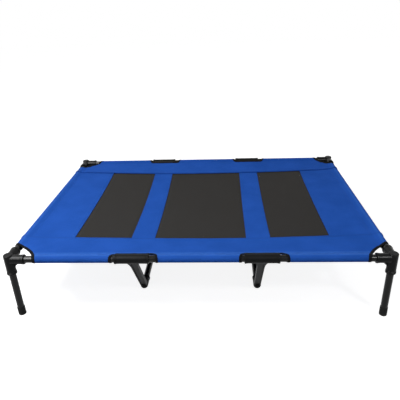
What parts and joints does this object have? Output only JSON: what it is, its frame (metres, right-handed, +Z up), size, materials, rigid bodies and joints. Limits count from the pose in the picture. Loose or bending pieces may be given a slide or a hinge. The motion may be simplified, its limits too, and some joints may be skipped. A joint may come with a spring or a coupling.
{
  "type": "raised dog cot",
  "caption": "Raised pet cot: black push-together tube frame with moulded corner joints and leaning middle supports, holding a stretched blue sheet with mesh windows.",
  "frame": {"origin": "on the floor under the middle of the cot", "axes": "+X along the length to the right as seen from the front, +Y to the back, +Z up"},
  "size_m": [1.22, 0.901, 0.2315],
  "materials": {
    "joint_plastic": "satin",
    "tube_steel": "satin",
    "foot_rubber": "matte",
    "sheet_cloth": "matte",
    "window_mesh": "matte",
    "binding_tape": "matte"
  },
  "bodies": {
    "frame": {"corner_binding_front_left": "binding_tape", "corner_binding_front_right": "binding_tape", "corner_binding_rear_left": "binding_tape", "corner_binding_rear_right": "binding_tape", "corner_joint_front_left": "joint_plastic", "corner_joint_front_right": "joint_plastic", "corner_joint_rear_left": "joint_plastic", "corner_joint_rear_right": "joint_plastic", "cross_tube_left": "tube_steel", "cross_tube_right": "tube_steel", "cutout_binding_front_left": "binding_tape", "cutout_binding_front_right": "binding_tape", "cutout_binding_rear_left": "binding_tape", "cutout_binding_rear_right": "binding_tape", "front_panel": "sheet_cloth", "front_rail_left": "tube_steel", "front_rail_middle": "tube_steel", "front_rail_right": "tube_steel", "left_panel": "sheet_cloth", "left_rail_front": "tube_steel", "left_rail_rear": "tube_steel", "mesh_left": "window_mesh", "mesh_middle": "window_mesh", "mesh_right": "window_mesh", "rear_panel": "sheet_cloth", "rear_rail_left": "tube_steel", "rear_rail_middle": "tube_steel", "rear_rail_right": "tube_steel", "right_panel": "sheet_cloth", "right_rail_front": "tube_steel", "right_rail_rear": "tube_steel", "strip_left": "sheet_cloth", "strip_right": "sheet_cloth", "support_leg_front_left": "joint_plastic", "support_leg_front_right": "joint_plastic", "support_leg_rear_left": "joint_plastic", "support_leg_rear_right": "joint_plastic"},
    "leg_front_left": {"leg_tube_front_left": "tube_steel", "foot_cap_front_left": "foot_rubber"},
    "leg_front_right": {"leg_tube_front_right": "tube_steel", "foot_cap_front_right": "foot_rubber"},
    "leg_rear_left": {"leg_tube_rear_left": "tube_steel", "foot_cap_rear_left": "foot_rubber"},
    "leg_rear_right": {"leg_tube_rear_right": "tube_steel", "foot_cap_rear_right": "foot_rubber"}
  },
  "joints": [
    {"name": "leg_front_left_pull", "type": "slide", "parent": "frame", "child": "leg_front_left", "axis": [0, 0, -1], "range_m": [0, 0.035]},
    {"name": "leg_front_right_pull", "type": "slide", "parent": "frame", "child": "leg_front_right", "axis": [0, 0, -1], "range_m": [0, 0.035]},
    {"name": "leg_rear_left_pull", "type": "slide", "parent": "frame", "child": "leg_rear_left", "axis": [0, 0, -1], "range_m": [0, 0.035]},
    {"name": "leg_rear_right_pull", "type": "slide", "parent": "frame", "child": "leg_rear_right", "axis": [0, 0, -1], "range_m": [0, 0.035]}
  ]
}
